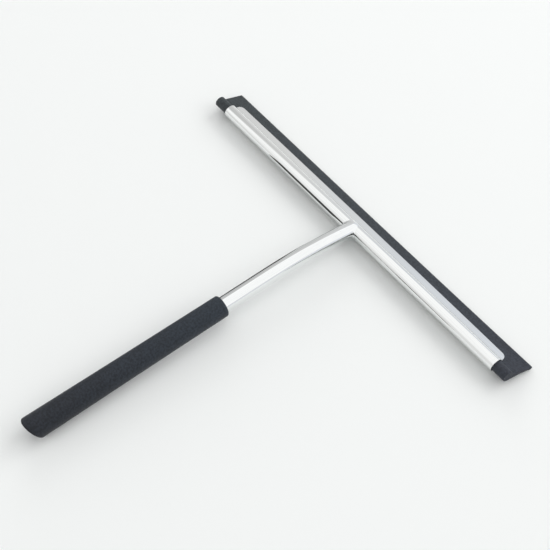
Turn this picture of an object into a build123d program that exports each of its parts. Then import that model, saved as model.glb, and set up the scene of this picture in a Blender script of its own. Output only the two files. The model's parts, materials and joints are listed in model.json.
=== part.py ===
from build123d import *
import math
import os

# Window cleaning squeegee, lying on a table: the lip of its rubber blade and the rear end of
# its grip touch z = 0. +X runs along the blade, +Y from the grip to the blade's lip, +Z up.
# The origin is on the table, at the middle of the whole object's box. Millimetres.

os.makedirs("parts", exist_ok=True)

# ---------------------------------------------------------------- driving dimensions

# Blade: one extruded rubber strip with a round bead, a wedge-shaped web and a thicker lip
blade_length = 251.0
bead_radius = 3.4
web_top_height = 0.67         # flat upper face of the web, above the bead's centre
root_angle = 12.8             # lower face of the web where it leaves the bead, degrees
neck_thickness = 1.5          # of the web, just behind the lip
lip_reach = 16.6              # centre of the lip's round edge, from the bead's centre
lip_radius = 1.08
lip_hollow = 0.6              # fillet between the neck and the lip

# Channel: one strip of sheet steel, rolled into a barrel round the bead, with two flanges
channel_length = 230.2
sheet = 0.4
blade_fit = 0.2               # running clearance all round the rubber, so that it slides out
flange_reach = 9.6            # free edge of the flanges, from the barrel's centre
valley_radius = 0.8           # bend between the barrel and the upper flange, outside
flange_corner = 3.0           # rounded corners of the flanges

# Handle: a bent tube, shaped over the barrel and welded to it
tube_radius = 4.75
tube_wall = 1.0
neck_bend_radius = 262.0
neck_bend_angle = 13.0        # degrees
neck_offset = 0.4             # tube's centre below the barrel's centre, where they meet
blade_angle = 20.5            # blade below the line of the grip, degrees
weld_radius = 1.4             # fillet of weld between the tube and the barrel

# Grip: a soft sleeve, pushed on to the tube, with a slanted rear end
grip_length = 118.4           # along its centre line
grip_front_reach = 90.4       # front face of the grip, behind the barrel's centre
grip_front_radius = 6.22
grip_waist_radius = 6.5
grip_rear_radius = 6.95
grip_slant = 31.0             # rear end, from square to the grip, degrees
grip_front_edge = 1.0
grip_rear_edge = 0.8
grip_end_wall = 5.0           # rubber behind the plug, at its thinnest

# Plug: a plastic stopper in the rear end of the tube
plug_depth = 12.0
plug_flange = 1.5
plug_lead = 0.8               # chamfer that leads it in

# ---------------------------------------------------------------- layout in side view

# Side-view axes: along the grip's centre line towards the lip, and square to it, upwards.
# Their zero is level with the barrel's centre, on the grip's centre line.
bend = math.radians(neck_bend_angle)
bend_run = neck_bend_radius * math.sin(bend)
neck_drop = neck_bend_radius * (1 - math.cos(bend))
barrel_height = neck_offset - neck_drop

# Where the rubber lip's round edge and the grip's rear lower corner lie
blade_dip = math.radians(blade_angle)
lip_height = web_top_height - lip_radius
lip_along = lip_reach * math.cos(blade_dip) + lip_height * math.sin(blade_dip)
lip_up = barrel_height - lip_reach * math.sin(blade_dip) + lip_height * math.cos(blade_dip)
slant = math.radians(grip_slant)
grip_rear_reach = grip_front_reach + grip_length
heel_along = grip_rear_radius * math.tan(slant) - grip_rear_reach
heel_up = -grip_rear_radius

# The tilt at which both of them touch the table
span = math.hypot(lip_along - heel_along, lip_up - heel_up)
tilt = math.asin(lip_radius / span) - math.atan2(lip_up - heel_up, lip_along - heel_along)

# Centre of the rounded upper rear edge of the grip, which is the object's rearmost place
tail_half_angle = (math.pi / 2 - slant) / 2
tail_along = -grip_rear_reach - grip_rear_radius * math.tan(slant)
tail_along += grip_rear_edge / math.tan(tail_half_angle)
tail_up = grip_rear_radius - grip_rear_edge


def turned(along, up):
    """Side-view place, turned by the tilt: (forward, upward)."""
    forward = along * math.cos(tilt) - up * math.sin(tilt)
    upward = along * math.sin(tilt) + up * math.cos(tilt)
    return forward, upward


table_drop = turned(heel_along, heel_up)[1]
front_end = turned(lip_along, lip_up)[0] + lip_radius
rear_end = turned(tail_along, tail_up)[0] - grip_rear_edge
side_origin = (0, -(front_end + rear_end) / 2, -table_drop)

SIDE = Plane(
    origin=side_origin,
    x_dir=(0, math.cos(tilt), math.sin(tilt)),
    z_dir=(1, 0, 0),
)
barrel_centre = SIDE.from_local_coords((0, barrel_height, 0))
blade_tilt = tilt - blade_dip
HEAD = Plane(
    origin=barrel_centre,
    x_dir=(0, math.cos(blade_tilt), math.sin(blade_tilt)),
    z_dir=(1, 0, 0),
)

# ---------------------------------------------------------------- sizes that follow

bore_radius = bead_radius + blade_fit
barrel_radius = bore_radius + sheet
slot_top = web_top_height + blade_fit
flange_top = slot_top + sheet
root = math.radians(root_angle)


def under_face(radius, reach):
    """Height of the lower face that leaves a circle of this radius, at this reach."""
    return reach * math.tan(root) - radius / math.cos(root)


def tangent_point(radius):
    """Where that lower face touches its circle."""
    return radius * math.sin(root), -radius * math.cos(root)


def corner_at(sketch, plane, reach, height):
    """The corner of a section that lies nearest to this place on its plane."""
    place = plane.from_local_coords((reach, height, 0))
    return sketch.vertices().sort_by_distance(place)[0]


# ---------------------------------------------------------------- blade_rubber

with BuildPart() as blade_rubber:
    with BuildSketch(HEAD) as blade_section:
        Circle(bead_radius)
        with BuildLine():
            Polyline(
                (0, web_top_height),
                (lip_reach, web_top_height),
                (lip_reach, web_top_height - neck_thickness),
                (flange_reach, under_face(bead_radius, flange_reach)),
                tangent_point(bead_radius),
                (0, 0),
                close=True,
            )
        make_face()
        with Locations((lip_reach, lip_height)):
            Circle(lip_radius)
        crease = corner_at(blade_section, HEAD, bead_radius, web_top_height)
        fillet(crease, valley_radius + sheet + blade_fit)
        neck_reach = lip_reach - lip_radius
        neck = corner_at(blade_section, HEAD, neck_reach, web_top_height - neck_thickness)
        fillet(neck, lip_hollow)
    extrude(amount=blade_length / 2, both=True)

blade_rubber.part.label = "blade_rubber"
export_step(blade_rubber.part, "parts/blade_rubber.step")

# ---------------------------------------------------------------- head_channel

# Outer shape of the folded strip: barrel, upper flange and lower flange
with BuildSketch(HEAD) as channel_outline:
    Circle(barrel_radius)
    with BuildLine():
        Polyline(
            (0, flange_top),
            (flange_reach, flange_top),
            (flange_reach, under_face(barrel_radius, flange_reach)),
            tangent_point(barrel_radius),
            (0, 0),
            close=True,
        )
    make_face()
    fillet(corner_at(channel_outline, HEAD, barrel_radius, flange_top), valley_radius)

# Inner shape, one sheet thickness further in: the bore and the slot for the web
with BuildSketch(HEAD) as channel_inside:
    Circle(bore_radius)
    with BuildLine():
        Polyline(
            (0, slot_top),
            (flange_reach + sheet, slot_top),
            (flange_reach + sheet, under_face(bore_radius, flange_reach + sheet)),
            tangent_point(bore_radius),
            (0, 0),
            close=True,
        )
    make_face()
    fillet(corner_at(channel_inside, HEAD, bore_radius, slot_top), valley_radius + sheet)

# Plan view of the channel, square to the blade
HEAD_PLAN = Plane(origin=barrel_centre, x_dir=(1, 0, 0), z_dir=HEAD.y_dir)

with BuildPart() as head_channel:
    extrude(channel_outline.sketch, amount=channel_length / 2, both=True)
    extrude(channel_inside.sketch, amount=channel_length / 2, both=True, mode=Mode.SUBTRACT)
    with BuildSketch(HEAD_PLAN) as plan_outline:
        Rectangle(channel_length, 2 * flange_reach)
        fillet(plan_outline.vertices().group_by(Axis.Y)[-1], flange_corner)
    extrude(amount=2 * barrel_radius, both=True, mode=Mode.INTERSECT)

head_channel.part.label = "head_channel"
export_step(head_channel.part, "parts/head_channel.step")

# ---------------------------------------------------------------- handle_tube

plug_rear = grip_end_wall + heel_along
tube_rear = plug_rear + plug_flange
tube_bore = tube_radius - tube_wall
neck_centre = SIDE.from_local_coords((0, -neck_drop, 0))

with BuildPart() as handle_tube:
    with BuildLine(SIDE) as tube_path:
        Line((tube_rear, 0), (-bend_run, 0))
        JernArc((-bend_run, 0), (1, 0), neck_bend_radius, -neck_bend_angle)
    TUBE_END = Plane(origin=tube_path.line @ 0, z_dir=tube_path.line % 0)
    with BuildSketch(TUBE_END):
        Circle(tube_radius)
    sweep(path=tube_path.line)
    # The rounded front end laps over the barrel, and the weld fills the corner between them
    with Locations(neck_centre):
        Sphere(tube_radius)
    extrude(channel_outline.sketch, amount=2 * tube_radius, both=True)
    weld_line = handle_tube.edges().filter_by(
        lambda e: (e.center() - neck_centre).length < tube_radius + weld_radius
        and abs(e.center().X) > weld_radius
    )
    fillet(weld_line, weld_radius)
    extrude(channel_outline.sketch, amount=3 * tube_radius, both=True, mode=Mode.SUBTRACT)
    with BuildSketch(TUBE_END):
        Circle(tube_bore)
    sweep(path=tube_path.line, mode=Mode.SUBTRACT)

handle_tube.part.label = "handle_tube"
export_step(handle_tube.part, "parts/handle_tube.step")

# ---------------------------------------------------------------- handle_end_plug

GRIP_AXIS = Axis(origin=SIDE.origin, direction=SIDE.x_dir)

with BuildPart() as handle_end_plug:
    with BuildSketch(SIDE):
        with Locations((plug_rear, 0)):
            Rectangle(plug_flange, tube_radius, align=(Align.MIN, Align.MIN))
            Rectangle(plug_flange + plug_depth, tube_bore, align=(Align.MIN, Align.MIN))
    revolve(axis=GRIP_AXIS)
    chamfer(handle_end_plug.edges().sort_by(Axis.Y)[-1], plug_lead)

handle_end_plug.part.label = "handle_end_plug"
export_step(handle_end_plug.part, "parts/handle_end_plug.step")

# ---------------------------------------------------------------- grip_sleeve

grip_middle = -grip_front_reach - grip_length / 2
grip_tail = -grip_rear_reach - 2 * grip_rear_radius * math.tan(slant)
REAR_CUT = Plane(
    origin=SIDE.from_local_coords((-grip_rear_reach, 0, 0)),
    z_dir=-SIDE.x_dir * math.cos(slant) - SIDE.y_dir * math.sin(slant),
)

with BuildPart() as grip_sleeve:
    with BuildSketch(SIDE) as grip_section:
        with BuildLine():
            grip_outline = ThreePointArc(
                (-grip_front_reach, grip_front_radius),
                (grip_middle, grip_waist_radius),
                (-grip_rear_reach, grip_rear_radius),
            )
            Polyline(
                grip_outline @ 1,
                (grip_tail, grip_rear_radius),
                (grip_tail, 0),
                (plug_rear, 0),
                (plug_rear, tube_radius),
                (-grip_front_reach, tube_radius),
                grip_outline @ 0,
            )
        make_face()
        front_corner = corner_at(grip_section, SIDE, -grip_front_reach, grip_front_radius)
        fillet(front_corner, grip_front_edge)
    revolve(axis=GRIP_AXIS)
    split(bisect_by=REAR_CUT, keep=Keep.BOTTOM)
    rear_face = grip_sleeve.faces().filter_by(REAR_CUT)[0]
    fillet(rear_face.edges(), grip_rear_edge)

grip_sleeve.part.label = "grip_sleeve"
export_step(grip_sleeve.part, "parts/grip_sleeve.step")
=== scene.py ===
import itertools
import json
import math

import bpy
import numpy as np
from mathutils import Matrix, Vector


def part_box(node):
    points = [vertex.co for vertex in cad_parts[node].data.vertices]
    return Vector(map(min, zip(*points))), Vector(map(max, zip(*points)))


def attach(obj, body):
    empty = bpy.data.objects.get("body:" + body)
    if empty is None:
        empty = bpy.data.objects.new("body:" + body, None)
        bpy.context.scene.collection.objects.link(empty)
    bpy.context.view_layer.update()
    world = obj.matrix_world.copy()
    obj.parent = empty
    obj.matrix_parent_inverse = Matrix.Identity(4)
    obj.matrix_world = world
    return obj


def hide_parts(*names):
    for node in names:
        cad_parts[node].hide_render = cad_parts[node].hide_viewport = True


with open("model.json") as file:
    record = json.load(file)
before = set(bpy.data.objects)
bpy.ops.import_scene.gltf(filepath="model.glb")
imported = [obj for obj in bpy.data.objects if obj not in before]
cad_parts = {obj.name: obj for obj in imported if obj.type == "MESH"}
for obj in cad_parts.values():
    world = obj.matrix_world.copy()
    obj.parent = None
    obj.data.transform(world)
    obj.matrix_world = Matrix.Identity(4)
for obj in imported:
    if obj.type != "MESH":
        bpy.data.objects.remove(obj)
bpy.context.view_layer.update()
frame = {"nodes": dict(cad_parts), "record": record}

# Window cleaning squeegee. Metres, in the CAD frame: +X along the blade, +Y from the grip to
# the blade's lip, +Z up, with the table at z = 0.

# ---------------------------------------------------------------- camera

LENS = 82.0                                  # millimetres, on a 36 mm sensor
AZIMUTH = math.radians(52.16)                # round from the grip's end, towards +X
ELEVATION = math.radians(53.23)
DISTANCE = 0.6887
TARGET = Vector((-0.00419, 0.04601, 0.00137))

camera = bpy.data.objects.new("camera", bpy.data.cameras.new("camera"))
bpy.context.scene.collection.objects.link(camera)
back = Vector((
    math.sin(AZIMUTH) * math.cos(ELEVATION),
    -math.cos(AZIMUTH) * math.cos(ELEVATION),
    math.sin(ELEVATION),
))
camera.location = TARGET + back * DISTANCE
camera.rotation_mode = "QUATERNION"
camera.rotation_quaternion = (-back).to_track_quat("-Z", "Y")
camera.data.lens = LENS
camera.data.sensor_width = 36.0
camera.data.clip_start = 0.01
bpy.context.scene.camera = camera

# ---------------------------------------------------------------- sizes

MM = 0.001

SHEET = 0.4 * MM                             # thickness of the channel's steel
ROOT_ANGLE = 12.8                            # lower flange and lower face of the web, degrees
FLANGE_REACH = 9.4 * MM                      # the flanges' edge, in the middle of the blade
FLANGE_BOW = 0.4 * MM                        # and this much nearer to the barrel at its ends
FLANGE_HEIGHT = 1.07 * MM                    # middle of the upper flange's sheet
FLANGE_CORNER = 3.0 * MM
VALLEY_RADIUS = 1.0 * MM                     # middle of the sheet, between barrel and flange
FLANGE_SHIFT = 0.9 * MM                      # the flanges lie this far to the left of the barrel
FLANGE_SHORT = 0.5 * MM                      # and stop short of it at both ends
CHANNEL_RIM = 0.1 * MM                       # rounding along the sheet's cut edges

BEAD_RADIUS = 3.25 * MM
WEB_TOP = 0.67 * MM                          # flat upper face of the web, above the bead's centre
WEB_CREASE = 1.4 * MM                        # hollow between the bead and the web
WEB_THICKNESS = 1.5 * MM                     # just behind the lip
LIP_REACH = 16.6 * MM
LIP_RADIUS = 1.08 * MM
LIP_HEEL = 1.1 * MM                          # rear side of the lip, behind its centre
BLADE_EDGE = 0.15 * MM                       # rounding round the blade's cut ends
BLADE_BEND_REACH = 11.5 * MM                 # the web is free to bend beyond this
BLADE_SKEW = 0.085                           # slope of the right end's cut, out of square
BLADE_LIFT = math.radians(12.0)              # bend of the lip, upwards, at the right end
LEAST_BEND = 1e-4                            # stands for no bend, in radians

TUBE_WALL = 1.0 * MM
BEND_RADIUS = 262.0 * MM
BEND_ANGLE = math.radians(13.0)
NECK_OFFSET = 0.4 * MM                       # the tube's line passes this far below the barrel's
BLADE_ANGLE = math.radians(20.5)
WELD_RADIUS = 0.8 * MM                       # fillet between the tube and the barrel
NECK_END = 1.5 * MM                          # the tube's line stops this far behind the barrel's
NECK_REACH = 13.0 * MM                       # how far back the neck's own mesh begins
NECK_STEP = 0.25 * MM
TAPER = 0.01 * MM                            # where the tube's two meshes pass into each other
TAPER_RUN = 2.5 * MM

GRIP_FRONT = 90.4 * MM                       # front face, behind the barrel
GRIP_LENGTH = 118.4 * MM
GRIP_RADII = (6.22 * MM, 6.5 * MM, 6.95 * MM)   # front, middle and rear
GRIP_SLANT = math.radians(31.0)
GRIP_FRONT_EDGE = 1.0 * MM
GRIP_REAR_EDGE = 0.8 * MM
GRIP_END_WALL = 5.0 * MM                     # from the bore's end back to where the slant begins
GRIP_MOUTH = 0.3 * MM                        # chamfer of the bore
GRIP_CAP = 0.1                               # one flat face closes this share of the slant
PLUG_FLANGE = 1.5 * MM

# How finely the meshes are divided
CREASE_POINTS = 13
BARREL_POINTS = 97
ROUNDING_POINTS = 9
CORNER_POINTS = 12
FLANGE_POINTS = 10
CHANNEL_STATIONS = 60
LIP_STEP = 0.8 * MM
BLADE_EDGE_POINTS = 5
BLADE_STATIONS = 120
STRAIGHT_STATIONS = 16
BEND_STATIONS = 24
TAPER_STATIONS = 5
TUBE_TURN = 3                                # degrees
GRIP_TURN = 3.75
GRIP_STATIONS = 49
GRIP_FACE_POINTS = 5
NET_PASSES = 6
FLAT_ANGLE = math.radians(40)                # a sharper edge than this is left sharp or bevelled

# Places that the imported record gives: the barrel under the hook, and the tube at the clip
mounts = {mount["name"]: mount for mount in frame["record"]["mounts"]}
BARREL_RADIUS = mounts["hook_left"]["dims"]["r_mm"] * MM
TUBE_RADIUS = mounts["tube_clip"]["dims"]["r_mm"] * MM
BARREL = Vector(mounts["hook_left"]["pos_m"]) + Vector((0, BARREL_RADIUS, 0))
BARREL.x = 0.0
GRIP_AXIS = Vector(mounts["tube_clip"]["axis"])
GRIP_TILT = math.atan2(GRIP_AXIS.z, GRIP_AXIS.y)
HEAD_TILT = GRIP_TILT - BLADE_ANGLE

# Zero of the handle's side view: level with the barrel, on the grip's centre line
neck_drop = BEND_RADIUS * (1 - math.cos(BEND_ANGLE))
barrel_up = NECK_OFFSET - neck_drop
HANDLE = BARREL - Vector((0, -math.sin(GRIP_TILT), math.cos(GRIP_TILT))) * barrel_up
BEND_RUN = BEND_RADIUS * math.sin(BEND_ANGLE)

# ---------------------------------------------------------------- shapes


def placed(origin, tilt, across, along, up):
    """Points in metres, from places across, along and square to a tilted side view."""
    across, along, up = np.broadcast_arrays(across, along, up)
    y = origin.y + along * math.cos(tilt) - up * math.sin(tilt)
    z = origin.z + along * math.sin(tilt) + up * math.cos(tilt)
    return np.stack([origin.x + across, y, z], -1)


def side_view(points, origin, tilt):
    """The opposite of placed: how far along and up these points are."""
    y = points[..., 1] - origin.y
    z = points[..., 2] - origin.z
    along = y * math.cos(tilt) + z * math.sin(tilt)
    return along, z * math.cos(tilt) - y * math.sin(tilt)


def arc(centre, radius, start, end, count):
    """Points on an arc, from one angle to another in degrees."""
    angles = np.radians(np.linspace(start, end, count))
    around = np.stack([np.cos(angles), np.sin(angles)], -1)
    return np.array(centre) + radius * around


def under_face(radius, reach):
    """Height of the lower face that leaves a circle of this radius."""
    root = math.radians(ROOT_ANGLE)
    return reach * math.tan(root) - radius / math.cos(root)


def barrel_line(radius, height, crease):
    """From the upper face, down the crease and round the circle, to the lower face."""
    across = math.sqrt((radius + crease) ** 2 - (height + crease) ** 2)
    start = math.degrees(math.atan2(height + crease, across))
    hollow = arc((across, height + crease), crease, -90, start - 180, CREASE_POINTS)
    circle = arc((0, 0), radius, start, 270 + ROOT_ANGLE, BARREL_POINTS)
    return np.concatenate([hollow, circle[1:]])


def rounded(corners):
    """A line with its corners rounded, from (reach, height, radius) corners."""
    line = [np.array(corners[0][:2])]
    for before, corner, after in zip(corners, corners[1:], corners[2:]):
        place = np.array(corner[:2])
        inward = np.array(before[:2]) - place
        inward /= np.linalg.norm(inward)
        onward = np.array(after[:2]) - place
        onward /= np.linalg.norm(onward)
        half = math.acos(float(np.clip(inward @ onward, -1, 1))) / 2
        middle = inward + onward
        centre = place + middle / np.linalg.norm(middle) * corner[2] / math.sin(half)
        start = place + inward * corner[2] / math.tan(half) - centre
        end = place + onward * corner[2] / math.tan(half) - centre
        for share in np.linspace(0, 1, ROUNDING_POINTS):
            step = start * (1 - share) + end * share
            line.append(centre + step / np.linalg.norm(step) * corner[2])
    line.append(np.array(corners[-1][:2]))
    return np.array(line)


def spread(line, gap):
    """The same line, with points added where they lie further apart than the gap."""
    full = []
    for start, end in zip(line, line[1:]):
        count = max(1, math.ceil(float(np.linalg.norm(end - start)) / gap))
        full.extend(start + (end - start) * k / count for k in range(count))
    return np.array([*full, line[-1]])


def grid_faces(rows, columns, round_rows=False, round_columns=False):
    """Quads between the points of a grid, joined round where asked."""
    index = np.arange(rows * columns).reshape(rows, columns)
    if round_rows:
        index = np.concatenate([index, index[:1]])
    if round_columns:
        index = np.concatenate([index, index[:, :1]], axis=1)
    corners = [index[:-1, :-1], index[:-1, 1:], index[1:, 1:], index[1:, :-1]]
    return np.stack(corners, -1).reshape(-1, 4).tolist()


def piece(name, points, faces, body, node, finish):
    """A smooth mesh that rides on a body, and stands for a CAD node where one is named."""
    mesh = bpy.data.meshes.new(name)
    mesh.from_pydata(points.reshape(-1, 3).tolist(), [], faces)
    mesh.polygons.foreach_set("use_smooth", [True] * len(mesh.polygons))
    mesh.materials.append(finish)
    made = bpy.data.objects.new(name, mesh)
    bpy.context.scene.collection.objects.link(made)
    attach(made, body)
    if node:
        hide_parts(node)
    return made


def soften(made, width):
    """Rounds a piece's sharp edges and keeps its flat faces flat."""
    bevel = made.modifiers.new("bevel", "BEVEL")
    bevel.width = width
    bevel.segments = 2
    bevel.limit_method = "ANGLE"
    bevel.angle_limit = FLAT_ANGLE
    made.modifiers.new("flat_faces", "WEIGHTED_NORMAL")


def head_channel(finish):
    """One strip of sheet, folded into a barrel and two flanges with rounded corners."""
    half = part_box("head_channel")[1].x
    middle = BARREL_RADIUS - SHEET / 2
    barrel = barrel_line(middle, FLANGE_HEIGHT, VALLEY_RADIUS)
    turn = np.radians(np.linspace(0, 90, CORNER_POINTS))
    corner_x = half - FLANGE_CORNER + FLANGE_CORNER * np.sin(turn)
    corner_reach = FLANGE_REACH - FLANGE_CORNER + FLANGE_CORNER * np.cos(turn)
    run = np.linspace(-corner_x[0], corner_x[0], CHANNEL_STATIONS)[1:-1]
    stations = np.concatenate([-corner_x[::-1], run, corner_x])
    reaches = np.concatenate([corner_reach[::-1], np.full(len(run), FLANGE_REACH), corner_reach])
    share = np.linspace(0, 1, FLANGE_POINTS)[:, None]
    rows = []
    for x, reach in zip(stations, reaches - FLANGE_BOW * (stations / half) ** 2):
        upper = np.array([reach, FLANGE_HEIGHT])
        lower = np.array([reach, under_face(middle, reach)])
        line = np.concatenate([
            upper + (barrel[0] - upper) * share[:-1],
            barrel,
            barrel[-1] + (lower - barrel[-1]) * share[1:],
        ])
        slip = np.clip((line[:, 0] - BARREL_RADIUS) / (FLANGE_REACH - BARREL_RADIUS), 0, 1)
        across = x - (FLANGE_SHIFT + FLANGE_SHORT * x / half) * np.sqrt(slip)
        rows.append(placed(BARREL, HEAD_TILT, across, line[:, 0], line[:, 1]))
    points = np.array(rows)
    faces = grid_faces(*points.shape[:2])
    made = piece(
        "head_channel_folded", points, faces, "handle", "head_channel", finish
    )
    plate = made.modifiers.new("sheet", "SOLIDIFY")
    plate.thickness = SHEET
    plate.offset = 0.0
    plate.use_even_offset = True
    soften(made, CHANNEL_RIM)


def blade_outline():
    """Section of the rubber: lip, web and bead."""
    bead = barrel_line(BEAD_RADIUS, WEB_TOP, WEB_CREASE)
    lip_far = LIP_REACH + LIP_RADIUS
    lip_low = WEB_TOP - 2 * LIP_RADIUS
    heel = LIP_REACH - LIP_HEEL
    slope_start = (FLANGE_REACH, under_face(BEAD_RADIUS, FLANGE_REACH))
    # The second radius is a trace smaller, so that the lip's two arcs don't share a point
    lip = rounded([
        tuple(bead[0]),
        (lip_far, WEB_TOP, LIP_RADIUS),
        (lip_far, lip_low, LIP_RADIUS * 0.999),
        (heel, lip_low, LIP_RADIUS / 2),
        (heel - LIP_RADIUS / 4, WEB_TOP - WEB_THICKNESS, LIP_RADIUS / 3),
        (*slope_start, 4 * LIP_RADIUS),
        tuple(bead[-1]),
    ])
    return np.concatenate([spread(lip, LIP_STEP)[:-1], bead[::-1][:-1]])


def bent(line, angle):
    """The section with its free part bent upwards, by this angle at the lip."""
    bend = max(angle, LEAST_BEND) / (LIP_REACH - BLADE_BEND_REACH)
    free = np.maximum(line[:, 0] - BLADE_BEND_REACH, 0)
    turn = bend * free
    reach = line[:, 0] - free + np.sin(turn) / bend - line[:, 1] * np.sin(turn)
    return np.stack([reach, (1 - np.cos(turn)) / bend + line[:, 1] * np.cos(turn)], -1)


def blade_rubber(finish):
    """The extruded strip, whose lip lifts towards its right end, with softly cut ends."""
    outline = blade_outline()
    ahead = np.roll(outline, -1, axis=0) - np.roll(outline, 1, axis=0)
    ahead /= np.linalg.norm(ahead, axis=1, keepdims=True)
    inward = np.stack([ahead[:, 1], -ahead[:, 0]], -1)
    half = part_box("blade_rubber")[1].x
    turn = np.radians(np.linspace(0, 90, BLADE_EDGE_POINTS))
    end_x = half - BLADE_EDGE + BLADE_EDGE * np.sin(turn)
    end_inset = BLADE_EDGE - BLADE_EDGE * np.cos(turn)
    run = np.linspace(-end_x[0], end_x[0], BLADE_STATIONS)[1:-1]
    stations = np.concatenate([-end_x[::-1], run, end_x])
    insets = np.concatenate([end_inset[::-1], 0 * run, end_inset])
    rows = []
    for x, inset in zip(stations, insets):
        lift = BLADE_LIFT * max(0.0, x / half) ** 2
        line = bent(outline + inward * inset, lift)
        across = x - BLADE_SKEW * max(0.0, x / half) * (LIP_REACH + LIP_RADIUS - line[:, 0])
        rows.append(placed(BARREL, HEAD_TILT, across, line[:, 0], line[:, 1]))
    points = np.array(rows)
    count = len(outline)
    faces = grid_faces(*points.shape[:2], round_columns=True)
    faces.append(list(range(count - 1, -1, -1)))
    faces.append(list(range((len(stations) - 1) * count, len(stations) * count)))
    made = piece(
        "blade_rubber_strip", points, faces, "blade", "blade_rubber", finish
    )
    made.modifiers.new("flat_faces", "WEIGHTED_NORMAL")


def tube_line(run):
    """Place along and up, and slope, of the tube's centre line at this run from the neck."""
    bend = np.clip((run + BEND_RUN) / BEND_RADIUS, 0, None)
    along = np.minimum(run, -BEND_RUN) + BEND_RADIUS * np.sin(bend)
    return along, -BEND_RADIUS * (1 - np.cos(bend)), bend


def grip_rear():
    """How far behind the barrel the blind end of the grip's bore lies."""
    return GRIP_FRONT + GRIP_LENGTH - GRIP_RADII[2] * math.tan(GRIP_SLANT) - GRIP_END_WALL


def handle_tube(finish):
    """The bent tube, from the plug's flange to just behind the neck."""
    rear = PLUG_FLANGE - grip_rear()
    front = TAPER_RUN - NECK_REACH + TAPER_RUN
    straight = np.linspace(rear, -BEND_RUN, STRAIGHT_STATIONS)
    bends = np.linspace(-BEND_RUN, front - 2 * TAPER_RUN, BEND_STATIONS)
    narrow = np.linspace(bends[-1], front, TAPER_STATIONS)
    outer = np.concatenate([straight[:-1], bends, narrow[1:]])
    radii = TUBE_RADIUS - TAPER * np.clip((outer - front) / TAPER_RUN + 1, 0, 1)
    run = np.concatenate([outer, outer[::-1]])
    radius = np.concatenate([radii, np.full(len(outer), TUBE_RADIUS - TUBE_WALL)])
    along, up, bend = (value[:, None] for value in tube_line(run))
    turn = np.radians(np.arange(0, 360, TUBE_TURN))[None]
    radius = radius[:, None]
    points = placed(
        HANDLE, GRIP_TILT,
        radius * np.sin(turn),
        along + radius * np.cos(turn) * np.sin(bend),
        up + radius * np.cos(turn) * np.cos(bend),
    )
    faces = grid_faces(*points.shape[:2], round_rows=True, round_columns=True)
    made = piece(
        "handle_tube_bent", points, faces, "handle", "handle_tube", finish
    )
    made.data.set_sharp_from_angle(angle=FLAT_ANGLE)


def union(first, second, radius):
    """Distance to two bodies joined by a fillet."""
    first_gap = np.maximum(radius - first, 0)
    second_gap = np.maximum(radius - second, 0)
    return np.maximum(radius, np.minimum(first, second)) - np.hypot(first_gap, second_gap)


def channel_distance(points):
    """Distance to the outside of the folded channel."""
    reach, up = side_view(points, BARREL, HEAD_TILT)
    root = math.radians(ROOT_ANGLE)
    top = up - FLANGE_HEIGHT - SHEET / 2
    bottom = reach * math.sin(root) - up * math.cos(root) - BARREL_RADIUS
    wedge = np.maximum(np.maximum(top, bottom), -reach)
    return union(np.hypot(reach, up) - BARREL_RADIUS, wedge, VALLEY_RADIUS - SHEET / 2)


def neck_distance(points):
    """Distance to the tube's end, welded round the barrel."""
    along, up = side_view(points, HANDLE, GRIP_TILT)
    bend = np.arctan2(along + BEND_RUN, up + BEND_RADIUS)
    near = np.clip(bend, 0, BEND_ANGLE - NECK_END / BEND_RADIUS)
    from_line = np.hypot(
        along + BEND_RUN - BEND_RADIUS * np.sin(near),
        up + BEND_RADIUS - BEND_RADIUS * np.cos(near),
    )
    run = bend * BEND_RADIUS - BEND_RUN
    taper = TAPER * np.clip((TAPER_RUN - NECK_REACH - run) / TAPER_RUN, 0, 1)
    tube = np.hypot(from_line, points[..., 0]) - TUBE_RADIUS + taper
    channel = channel_distance(points)
    welded = union(tube, channel + TAPER, WELD_RADIUS)
    reach, _ = side_view(points, BARREL, HEAD_TILT)
    sides = np.maximum(np.abs(points[..., 0]) - 2 * BARREL_RADIUS, reach - FLANGE_REACH + SHEET)
    ends = np.maximum(sides, -NECK_REACH - run)
    return np.maximum(np.maximum(welded, -channel - SHEET), ends)


def slopes(distance, points):
    """Directions in which the distance grows, at these points."""
    step = 0.001 * MM
    moves = np.eye(3) * step
    grown = [distance(points + move) - distance(points - move) for move in moves]
    slope = np.stack(grown, -1)
    return slope / np.maximum(np.linalg.norm(slope, axis=-1, keepdims=True), 1e-12)


def surface_net(distance, low, high, step):
    """Closed mesh of quads where the distance is zero, with each point on the surface."""
    lines = [np.arange(start, end + step, step) for start, end in zip(low, high)]
    nodes = np.stack(np.meshgrid(*lines, indexing="ij"), -1)
    inside = distance(nodes) < 0
    size = [count - 1 for count in inside.shape]
    # How many of each cell's eight corners are inside
    filled = sum(
        inside[i:i + size[0], j:j + size[1], k:k + size[2]].astype(int)
        for i, j, k in itertools.product((0, 1), repeat=3)
    )
    crossed = (filled > 0) & (filled < 8)
    index = np.full(crossed.shape, -1)
    index[crossed] = np.arange(crossed.sum())
    points = nodes[:-1, :-1, :-1][crossed] + step / 2
    for _ in range(NET_PASSES):
        points = points - slopes(distance, points) * distance(points)[:, None]
    faces = []
    for axis in range(3):
        turned = np.moveaxis(inside, axis, 0)
        cells = np.moveaxis(index, axis, 0)
        change = turned[1:] != turned[:-1]
        i, j, k = np.nonzero(change[:, 1:-1, 1:-1])
        quad = np.stack([
            cells[i, j, k], cells[i, j + 1, k], cells[i, j + 1, k + 1], cells[i, j, k + 1]
        ], -1)
        flip = turned[i + 1, j + 1, k + 1] if axis != 1 else ~turned[i + 1, j + 1, k + 1]
        quad[flip] = quad[flip][:, ::-1]
        faces.extend(quad.tolist())
    return points, faces


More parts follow.
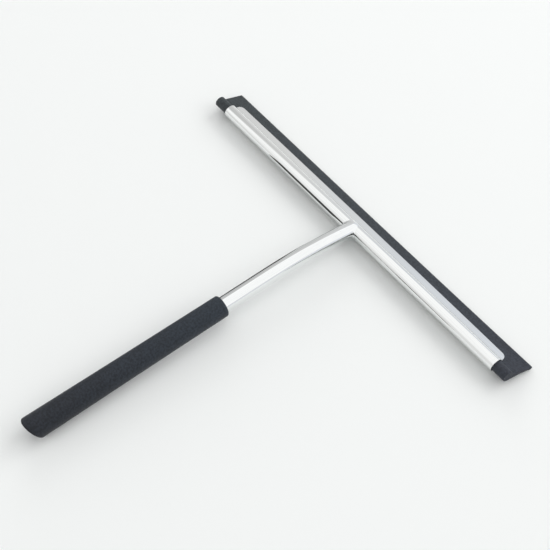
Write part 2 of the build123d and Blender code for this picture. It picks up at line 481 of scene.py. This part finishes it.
def neck_weld(finish):
    """The tube's rounded end, welded over the barrel and blended into it."""
    room = 2 * BARREL_RADIUS + SHEET
    low = (-room, BARREL.y - NECK_REACH - room / 4, BARREL.z - room)
    high = (room, BARREL.y + FLANGE_REACH + SHEET, BARREL.z + room)
    points, faces = surface_net(neck_distance, low, high, NECK_STEP)
    made = piece("handle_tube_neck", points, faces, "handle", None, finish)
    made.data.normals_split_custom_set_from_vertices(slopes(neck_distance, points).tolist())


def grip_sleeve(finish):
    """The soft sleeve, waisted a little, with a slanted rear end and a blind bore."""
    rear = -GRIP_FRONT - GRIP_LENGTH
    front_radius, waist, rear_radius = GRIP_RADII
    turns = np.radians(np.arange(0, 360, GRIP_TURN))
    slant = math.tan(GRIP_SLANT)
    columns = []
    for turn in turns:
        lean = math.cos(turn) * slant
        length = math.hypot(1, lean)
        edge_up = rear_radius - GRIP_REAR_EDGE
        edge_along = rear - edge_up * lean + GRIP_REAR_EDGE * length
        front = arc(
            (-GRIP_FRONT - GRIP_FRONT_EDGE, front_radius - GRIP_FRONT_EDGE),
            GRIP_FRONT_EDGE, 0, 90, ROUNDING_POINTS,
        )
        along = np.linspace(-GRIP_FRONT - GRIP_FRONT_EDGE, edge_along, GRIP_STATIONS)
        share = np.clip((-GRIP_FRONT - along) / GRIP_LENGTH, 0, 1)
        middle = 4 * waist - 3 * front_radius - rear_radius
        hollow = 2 * (front_radius + rear_radius) - 4 * waist
        body = np.stack([along, front_radius + middle * share + hollow * share ** 2], -1)
        back_edge = arc(
            (edge_along, edge_up), GRIP_REAR_EDGE,
            90, 180 + math.degrees(math.atan(lean)), ROUNDING_POINTS,
        )
        face_up = back_edge[-1][1] * np.linspace(1, GRIP_CAP, GRIP_FACE_POINTS)[1:]
        face = np.stack([rear - face_up * lean, face_up], -1)
        bore = [(-grip_rear(), TUBE_RADIUS), (-GRIP_FRONT - GRIP_MOUTH, TUBE_RADIUS)]
        mouth = [(-GRIP_FRONT, TUBE_RADIUS + GRIP_MOUTH)]
        columns.append(np.concatenate([bore, mouth, front, body[1:-1], back_edge, face]))
    profile = np.array(columns).transpose(1, 0, 2)
    points = placed(
        HANDLE, GRIP_TILT,
        profile[..., 1] * np.sin(turns), profile[..., 0], profile[..., 1] * np.cos(turns),
    )
    count = len(turns)
    faces = grid_faces(*points.shape[:2], round_columns=True)
    faces.append(list(range(count - 1, -1, -1)))
    faces.append(list(range((len(profile) - 1) * count, len(profile) * count)))
    made = piece(
        "grip_sleeve_moulded", points, faces, "handle", "grip_sleeve", finish
    )
    made.data.set_sharp_from_angle(angle=FLAT_ANGLE)


# ---------------------------------------------------------------- materials

# Grains are noise with this many lumps to the metre, along X, Y and Z
CHROME_LINES = 1600.0                        # across the direction in which the steel was drawn
CHROME_LINES_ALONG = 6.0
CHROME_FINE = 6000.0
CHROME_FINE_ALONG = 40.0
CHROME_UNEVEN = (45.0, 45.0, 45.0)
CHROME_LINE_HEIGHT = 0.002 * MM
CHROME_UNEVEN_HEIGHT = 0.02 * MM
CHROME_ROUGHNESS = (0.035, 0.08)
CHANNEL_TONES = ((0.80, 0.812, 0.804), (0.89, 0.902, 0.893))
TUBE_TONES = ((0.83, 0.845, 0.845), (0.88, 0.893, 0.893))

RUBBER_CLOUDS = (60.0, 60.0, 60.0)
RUBBER_SPECKS = (900.0, 900.0, 900.0)
RUBBER_GRAIN_HEIGHT = 0.03 * MM
RUBBER_SPECULAR = 0.3
RUBBER_ROUGHNESS = (0.55, 0.68)
CLOUD_SHADE = 0.8                            # the darkest clouds, as a share of the tone
LINES_ALONG_X = (60.0, 2500.0, 2500.0)
EVEN_GRAIN = (2500.0, 2500.0, 2500.0)
# The blade's tone darkens towards its right end: painted shade, where the light falls off along
# the blade
BLADE_TONES_AND_SHADE = ((0.053, 0.063, 0.068), (0.043, 0.050, 0.067))   # left end, right end
BLADE_SPECK_SHADE = 0.6
GRIP_TONES = ((0.021, 0.025, 0.034), (0.030, 0.041, 0.056))    # rear end, front end
GRIP_SPECK_SHADE = 0.55
GRIP_SHEEN = 0.06
PLUG_TONES = ((0.12, 0.12, 0.12), (0.12, 0.12, 0.12))
PLUG_SPECK_SHADE = 0.8


class Shader:
    """A node material with one Principled shader, and short ways to add nodes to it."""

    def __init__(self, name, roughness=0.5, metallic=0.0, colour=(0.8, 0.8, 0.8)):
        self.material = bpy.data.materials.new(name)
        self.material.use_nodes = True
        self.nodes = self.material.node_tree.nodes
        self.links = self.material.node_tree.links
        self.shader = self.nodes["Principled BSDF"]
        self.shader.inputs["Base Color"].default_value = (*colour, 1.0)
        self.shader.inputs["Roughness"].default_value = roughness
        self.shader.inputs["Metallic"].default_value = metallic
        self.place = self.nodes.new("ShaderNodeTexCoord").outputs["Object"]

    def stretched(self, scale):
        """Object coordinates in metres, times a scale along each axis."""
        mapping = self.nodes.new("ShaderNodeMapping")
        mapping.inputs["Scale"].default_value = scale
        self.links.new(self.place, mapping.inputs["Vector"])
        return mapping.outputs["Vector"]

    def noise(self, scale, detail=3.0, roughness=0.5):
        """Noise whose grain is 1/scale metres along each axis."""
        node = self.nodes.new("ShaderNodeTexNoise")
        node.inputs["Scale"].default_value = 1.0
        node.inputs["Detail"].default_value = detail
        node.inputs["Roughness"].default_value = roughness
        self.links.new(self.stretched(scale), node.inputs["Vector"])
        return node.outputs["Fac"]

    def ramp(self, value, stops):
        """A colour ramp through (position, grey or colour) stops."""
        node = self.nodes.new("ShaderNodeValToRGB")
        elements = node.color_ramp.elements
        while len(elements) < len(stops):
            elements.new(0.5)
        for element, (position, colour) in zip(elements, stops):
            rgb = (colour,) * 3 if isinstance(colour, float) else colour
            element.position = position
            element.color = (*rgb, 1.0)
        self.links.new(value, node.inputs["Fac"])
        return node.outputs["Color"]

    def bump(self, height, distance, strength=1.0):
        """Adds a height, in metres at 1.0, to the bumps that the shader has so far."""
        node = self.nodes.new("ShaderNodeBump")
        node.inputs["Strength"].default_value = strength
        node.inputs["Distance"].default_value = distance
        self.links.new(height, node.inputs["Height"])
        normal = self.shader.inputs["Normal"]
        if normal.links:
            self.links.new(normal.links[0].from_socket, node.inputs["Normal"])
        self.links.new(node.outputs["Normal"], normal)

    def position(self, axis, start, end):
        """How far along a run of the object's X or Y, from 0 to 1."""
        split = self.nodes.new("ShaderNodeSeparateXYZ")
        self.links.new(self.place, split.inputs[0])
        node = self.nodes.new("ShaderNodeMapRange")
        node.inputs["From Min"].default_value = start
        node.inputs["From Max"].default_value = end
        self.links.new(split.outputs[axis], node.inputs["Value"])
        return node.outputs["Result"]

    def shaded(self, colour, shade):
        """A colour darkened by a grey."""
        node = self.nodes.new("ShaderNodeMix")
        node.data_type = "RGBA"
        node.blend_type = "MULTIPLY"
        node.inputs["Factor"].default_value = 1.0
        self.links.new(colour, node.inputs["A"])
        self.links.new(shade, node.inputs["B"])
        return node.outputs["Result"]

    def set(self, name, value):
        """Links a value to one of the shader's sockets."""
        self.links.new(value, self.shader.inputs[name])


def spaced(edge, values):
    """Two stops for a ramp, this far from its ends."""
    return [(edge, values[0]), (1.0 - edge, values[1])]


def chrome(name, along, tones):
    """Chrome plate on steel that was drawn in the direction along, 0 for X or 1 for Y."""
    made = Shader(name, roughness=CHROME_ROUGHNESS[1], metallic=1.0)
    drawn = [CHROME_LINES] * 3
    drawn[along] = CHROME_LINES_ALONG
    lines = made.noise(drawn, detail=4.0, roughness=0.6)
    made.set("Base Color", made.ramp(lines, spaced(0.3, tones)))
    fine = [CHROME_FINE] * 3
    fine[along] = CHROME_FINE_ALONG
    made.set("Roughness", made.ramp(made.noise(fine), spaced(0.3, CHROME_ROUGHNESS)))
    made.bump(lines, CHROME_LINE_HEIGHT)
    made.bump(made.noise(CHROME_UNEVEN, detail=2.0), CHROME_UNEVEN_HEIGHT)
    return made.material


def rubber(name, span, tones, grain, speck_shade, sheen=0.0):
    """Matt moulded rubber, whose tone changes along a span, with clouds, specks and a grain."""
    made = Shader(name, roughness=0.6)
    made.shader.inputs["Specular IOR Level"].default_value = RUBBER_SPECULAR
    made.shader.inputs["Sheen Weight"].default_value = sheen
    clouds = made.noise(RUBBER_CLOUDS, detail=5.0, roughness=0.65)
    # On the blade, this change along the span is painted shade, darker towards the right end
    tone = made.ramp(made.position(*span), spaced(0.0, tones))
    tone = made.shaded(tone, made.ramp(clouds, spaced(0.3, (CLOUD_SHADE, 1.0))))
    specks = made.noise(RUBBER_SPECKS, detail=2.0)
    shade = made.ramp(specks, spaced(0.35, (speck_shade, 1.0)))
    made.set("Base Color", made.shaded(tone, shade))
    made.set("Roughness", made.ramp(clouds, spaced(0.3, RUBBER_ROUGHNESS)))
    made.bump(made.noise(grain), RUBBER_GRAIN_HEIGHT)
    return made.material


along_blade = (0, *(corner.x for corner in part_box("blade_rubber")))
along_grip = (1, *(corner.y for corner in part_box("grip_sleeve")))
channel_finish = chrome("chrome_channel_finish", 0, CHANNEL_TONES)
tube_finish = chrome("chrome_tube_finish", 1, TUBE_TONES)
blade_finish = rubber(
    "blade_rubber_finish", along_blade, BLADE_TONES_AND_SHADE, LINES_ALONG_X, BLADE_SPECK_SHADE
)
grip_finish = rubber(
    "grip_rubber_finish", along_grip, GRIP_TONES, EVEN_GRAIN, GRIP_SPECK_SHADE, GRIP_SHEEN
)
plug_finish = rubber(
    "plug_plastic_finish", along_grip, PLUG_TONES, EVEN_GRAIN, PLUG_SPECK_SHADE
)

head_channel(channel_finish)
blade_rubber(blade_finish)
handle_tube(tube_finish)
neck_weld(tube_finish)
grip_sleeve(grip_finish)
for material_slot in frame["nodes"]["handle_end_plug"].material_slots:
    material_slot.material = plug_finish

# ---------------------------------------------------------------- floor and light

FLOOR_TONE = (0.924, 0.940, 0.932)
FAR_FLOOR_TONE = (0.914, 0.930, 0.922)
FAR_FLOOR_START = 0.35                       # from here on the floor starts to glow
FAR_FLOOR_RISE = 2.5                         # share of the glow that each metre adds
FLOOR_SIZE = (6.0, 6.0)

WORLD_LIGHT = 0.74
WORLD_BACKDROP = 0.92
REFLECTED_LEAST = 0.607                      # what the chrome sees of the studio's walls
REFLECTED_RIGHT = 0.128                      # more to the right, and less to the left
REFLECTED_ENDS = 0.263                       # more in front and behind
REFLECTED_BLUE = (0.95, 0.985, 1.045)        # tint of the wall beyond the blade
BLUE_LEFT = -0.52                            # it starts at this X of a ray's direction
BLUE_RUN = 0.12                              # and is full this much further to the right
BLUE_RISE = 2.0                              # it grows by this with the ray's Y

CARD_SIZE = (4.4, 4.2)
CARD_PLACE = (-0.2, -0.5, 0.67)
CARD_STRENGTH = 1.085
CARD_LEFT = -0.56
CARD_LEFT_FADE = 0.12
CARD_TURN = 0.13                             # the left edge turns outwards in front of this
CARD_SLANT_BEHIND = 0.09
CARD_SLANT_AHEAD = 0.5
CARD_FRONT = -1.42
CARD_FRONT_FADE = 1.15
CARD_SLANT_FRONT = 1.3

# Low walls that the chrome shows as dark lines: foot, head, heights and tone of each
# The near wall stands for a dark hook beside the head. Its foot, which slants down to the floor
# towards the barrel, is a painted shadow: that hook's shadow on the floor, seen only in the chrome
NEAR_FOOT = ((-0.083, 0.080), (-0.022, 0.080), (-0.034, 0.018), (-0.041, -0.037), (-0.060, -0.090))
NEAR_HEAD = ((-0.083, 0.058), (-0.024, 0.058), (-0.036, 0.018), (-0.041, -0.037), (-0.060, -0.090))
NEAR_HEIGHTS = (0.0135, 0.017, 0.017, 0.020, 0.030)
NEAR_TONE = 0.03
FAR_FOOT = ((-0.215, -0.310), (-0.079, -0.325))
FAR_HEIGHTS = (0.085, 0.050)
FAR_TONE = 0.2
FRONT_FOOT = ((0.10, -0.52), (0.50, -0.30), (0.60, 0.10))
FRONT_HEIGHTS = (0.45, 0.50, 0.50)
FRONT_TONE = 0.02

LAMP_DISTANCE = 3.0
LAMP_SIZE = 1.5
RIGHT_LAMP = (45.0, 35.0, 12.6)              # degrees round and up, and watts
BACK_LAMP = (0.0, 35.0, 17.0)
LEFT_LAMP = (300.0, 20.0, 18.8)


def calc(tree, operation, first, second, clamp=False):
    """A Math node's output; each operand is a number or another node's output."""
    node = tree.nodes.new("ShaderNodeMath")
    node.operation = operation
    node.use_clamp = clamp
    for socket, value in zip(node.inputs, (first, second)):
        if isinstance(value, (int, float)):
            socket.default_value = value
        else:
            tree.links.new(value, socket)
    return node.outputs[0]


def axes(tree, vector):
    """The three parts of a vector."""
    node = tree.nodes.new("ShaderNodeSeparateXYZ")
    tree.links.new(vector, node.inputs[0])
    return node.outputs


def stage_plane(name, size, place, material):
    """A flat rectangle of the studio, which isn't part of the squeegee."""
    bpy.ops.mesh.primitive_plane_add(size=1.0, location=place)
    made = bpy.context.object
    made.name = name
    made.scale = (*size, 1.0)
    made.data.materials.append(material)
    return made


def floor_finish():
    """Matt and pale; camera and glossy rays see the far floor evenly lit."""
    made = Shader("floor_finish", roughness=0.9, colour=FLOOR_TONE)
    made.shader.inputs["Specular IOR Level"].default_value = 0.0
    tree = made.material.node_tree
    place = tree.nodes.new("ShaderNodeNewGeometry").outputs["Position"]
    length = tree.nodes.new("ShaderNodeVectorMath")
    length.operation = "LENGTH"
    tree.links.new(place, length.inputs[0])
    near = calc(tree, "SUBTRACT", length.outputs["Value"], FAR_FLOOR_START)
    far = calc(tree, "MULTIPLY", near, FAR_FLOOR_RISE, clamp=True)
    rays = tree.nodes.new("ShaderNodeLightPath").outputs
    seen = calc(tree, "MAXIMUM", rays["Is Camera Ray"], rays["Is Glossy Ray"])
    share = calc(tree, "MULTIPLY", far, seen)
    glow = tree.nodes.new("ShaderNodeEmission")
    glow.inputs["Color"].default_value = (*FAR_FLOOR_TONE, 1.0)
    mix = tree.nodes.new("ShaderNodeMixShader")
    tree.links.new(share, mix.inputs["Fac"])
    tree.links.new(made.shader.outputs["BSDF"], mix.inputs[1])
    tree.links.new(glow.outputs["Emission"], mix.inputs[2])
    tree.links.new(mix.outputs["Shader"], tree.nodes["Material Output"].inputs["Surface"])
    return made.material


stage_plane("floor", FLOOR_SIZE, (0, 0, 0), floor_finish())

world = bpy.data.worlds.new("world")
bpy.context.scene.world = world
world.use_nodes = True
sky = world.node_tree


def backdrop(strength, tint=None):
    """A background of this strength, a number or a node's output, white or tinted."""
    node = sky.nodes.new("ShaderNodeBackground")
    node.inputs["Color"].default_value = (1, 1, 1, 1)
    if tint:
        sky.links.new(tint, node.inputs["Color"])
    if isinstance(strength, float):
        node.inputs["Strength"].default_value = strength
    else:
        sky.links.new(strength, node.inputs["Strength"])
    return node.outputs["Background"]


def chosen(ray, first, second):
    """The second background for this kind of ray, and the first for the others."""
    node = sky.nodes.new("ShaderNodeMixShader")
    sky.links.new(rays[ray], node.inputs["Fac"])
    sky.links.new(first, node.inputs[1])
    sky.links.new(second, node.inputs[2])
    return node.outputs["Shader"]


rays = sky.nodes.new("ShaderNodeLightPath").outputs
across, along, _ = axes(sky, sky.nodes.new("ShaderNodeTexCoord").outputs["Generated"])
walls = calc(sky, "MULTIPLY", across, REFLECTED_RIGHT)
ends = calc(sky, "MULTIPLY", calc(sky, "ABSOLUTE", along, 0.0), REFLECTED_ENDS)
blue_across = calc(sky, "SUBTRACT", across, BLUE_LEFT)
blue_across = calc(sky, "DIVIDE", blue_across, BLUE_RUN, clamp=True)
blue_along = calc(sky, "MULTIPLY", along, BLUE_RISE, clamp=True)
tint = sky.nodes.new("ShaderNodeMix")
tint.data_type = "RGBA"
tint.inputs["A"].default_value = (1, 1, 1, 1)
tint.inputs["B"].default_value = (*REFLECTED_BLUE, 1)
sky.links.new(calc(sky, "MULTIPLY", blue_across, blue_along), tint.inputs["Factor"])
wall_light = calc(sky, "ADD", calc(sky, "ADD", walls, ends), REFLECTED_LEAST)
reflected = backdrop(wall_light, tint.outputs["Result"])
lit = chosen("Is Camera Ray", backdrop(WORLD_LIGHT), backdrop(WORLD_BACKDROP))
sky.links.new(
    chosen("Is Glossy Ray", lit, reflected), sky.nodes["World Output"].inputs["Surface"]
)


def glossy_only(made):
    """Seen in the chrome, and by nothing else."""
    made.visible_camera = False
    made.visible_diffuse = False
    made.visible_shadow = False
    made.visible_transmission = False
    made.visible_volume_scatter = False


def card_finish(name, strength):
    """A glowing card with a soft left edge, which slants, and a softer front edge."""
    material = bpy.data.materials.new(name)
    material.use_nodes = True
    tree = material.node_tree
    tree.nodes.clear()
    x, y, _ = axes(tree, tree.nodes.new("ShaderNodeNewGeometry").outputs["Position"])
    behind = calc(tree, "SUBTRACT", y, CARD_TURN)
    beyond = calc(tree, "MULTIPLY", calc(tree, "MAXIMUM", behind, 0.0), CARD_SLANT_BEHIND)
    ahead = calc(tree, "MULTIPLY", calc(tree, "MINIMUM", behind, 0.0), CARD_SLANT_AHEAD)
    edge = calc(tree, "ADD", calc(tree, "ADD", beyond, ahead), CARD_LEFT)
    left = calc(tree, "DIVIDE", calc(tree, "SUBTRACT", x, edge), CARD_LEFT_FADE, clamp=True)
    outer = calc(tree, "MINIMUM", calc(tree, "SUBTRACT", x, CARD_LEFT), 0.0)
    front = calc(tree, "SUBTRACT", y, CARD_FRONT)
    reached = calc(tree, "SUBTRACT", front, calc(tree, "MULTIPLY", outer, CARD_SLANT_FRONT))
    near = calc(tree, "DIVIDE", reached, CARD_FRONT_FADE, clamp=True)
    glow = tree.nodes.new("ShaderNodeEmission")
    glow.inputs["Strength"].default_value = strength
    clear = tree.nodes.new("ShaderNodeBsdfTransparent")
    mix = tree.nodes.new("ShaderNodeMixShader")
    tree.links.new(calc(tree, "MULTIPLY", left, near), mix.inputs["Fac"])
    tree.links.new(clear.outputs[0], mix.inputs[1])
    tree.links.new(glow.outputs[0], mix.inputs[2])
    out = tree.nodes.new("ShaderNodeOutputMaterial")
    tree.links.new(mix.outputs[0], out.inputs["Surface"])
    return material


def flag(name, foot_line, head_line, heights, tone):
    """A low wall, which the chrome shows as a dark line."""
    foot = [(x, y, 0.0) for x, y in foot_line]
    head = [(x, y, height) for (x, y), height in zip(head_line, heights)]
    count = len(foot)
    faces = [(k, k + 1, k + 1 + count, k + count) for k in range(count - 1)]
    mesh = bpy.data.meshes.new(name)
    mesh.from_pydata(foot + head, [], faces)
    mesh.materials.append(Shader(name + "_finish", roughness=0.8, colour=(tone,) * 3).material)
    made = bpy.data.objects.new(name, mesh)
    bpy.context.scene.collection.objects.link(made)
    glossy_only(made)


def soft_light(name, azimuth, elevation, power):
    """A square lamp round from beyond the blade, towards +X, which points at the middle."""
    height = math.radians(elevation)
    round_to = math.radians(azimuth)
    place = LAMP_DISTANCE * Vector((
        math.sin(round_to) * math.cos(height),
        math.cos(round_to) * math.cos(height),
        math.sin(height),
    ))
    lamp = bpy.data.lights.new(name, "AREA")
    lamp.shape = "SQUARE"
    lamp.size = LAMP_SIZE
    lamp.energy = power
    held = bpy.data.objects.new(name, lamp)
    bpy.context.scene.collection.objects.link(held)
    held.location = place
    held.rotation_mode = "QUATERNION"
    held.rotation_quaternion = (-place).to_track_quat("-Z", "Y")
    held.visible_glossy = False


glossy_only(stage_plane(
    "overhead_card", CARD_SIZE, CARD_PLACE, card_finish("card_finish", CARD_STRENGTH)
))
# A dark hook beside the head, with its painted shadow on the floor, seen only in the chrome
flag("near_flag", NEAR_FOOT, NEAR_HEAD, NEAR_HEIGHTS, NEAR_TONE)
flag("far_flag", FAR_FOOT, FAR_FOOT, FAR_HEIGHTS, FAR_TONE)
flag("front_flag", FRONT_FOOT, FRONT_FOOT, FRONT_HEIGHTS, FRONT_TONE)
soft_light("right_light", *RIGHT_LAMP)
soft_light("back_light", *BACK_LAMP)
soft_light("left_light", *LEFT_LAMP)

scene = bpy.context.scene
scene.view_settings.view_transform = "Standard"
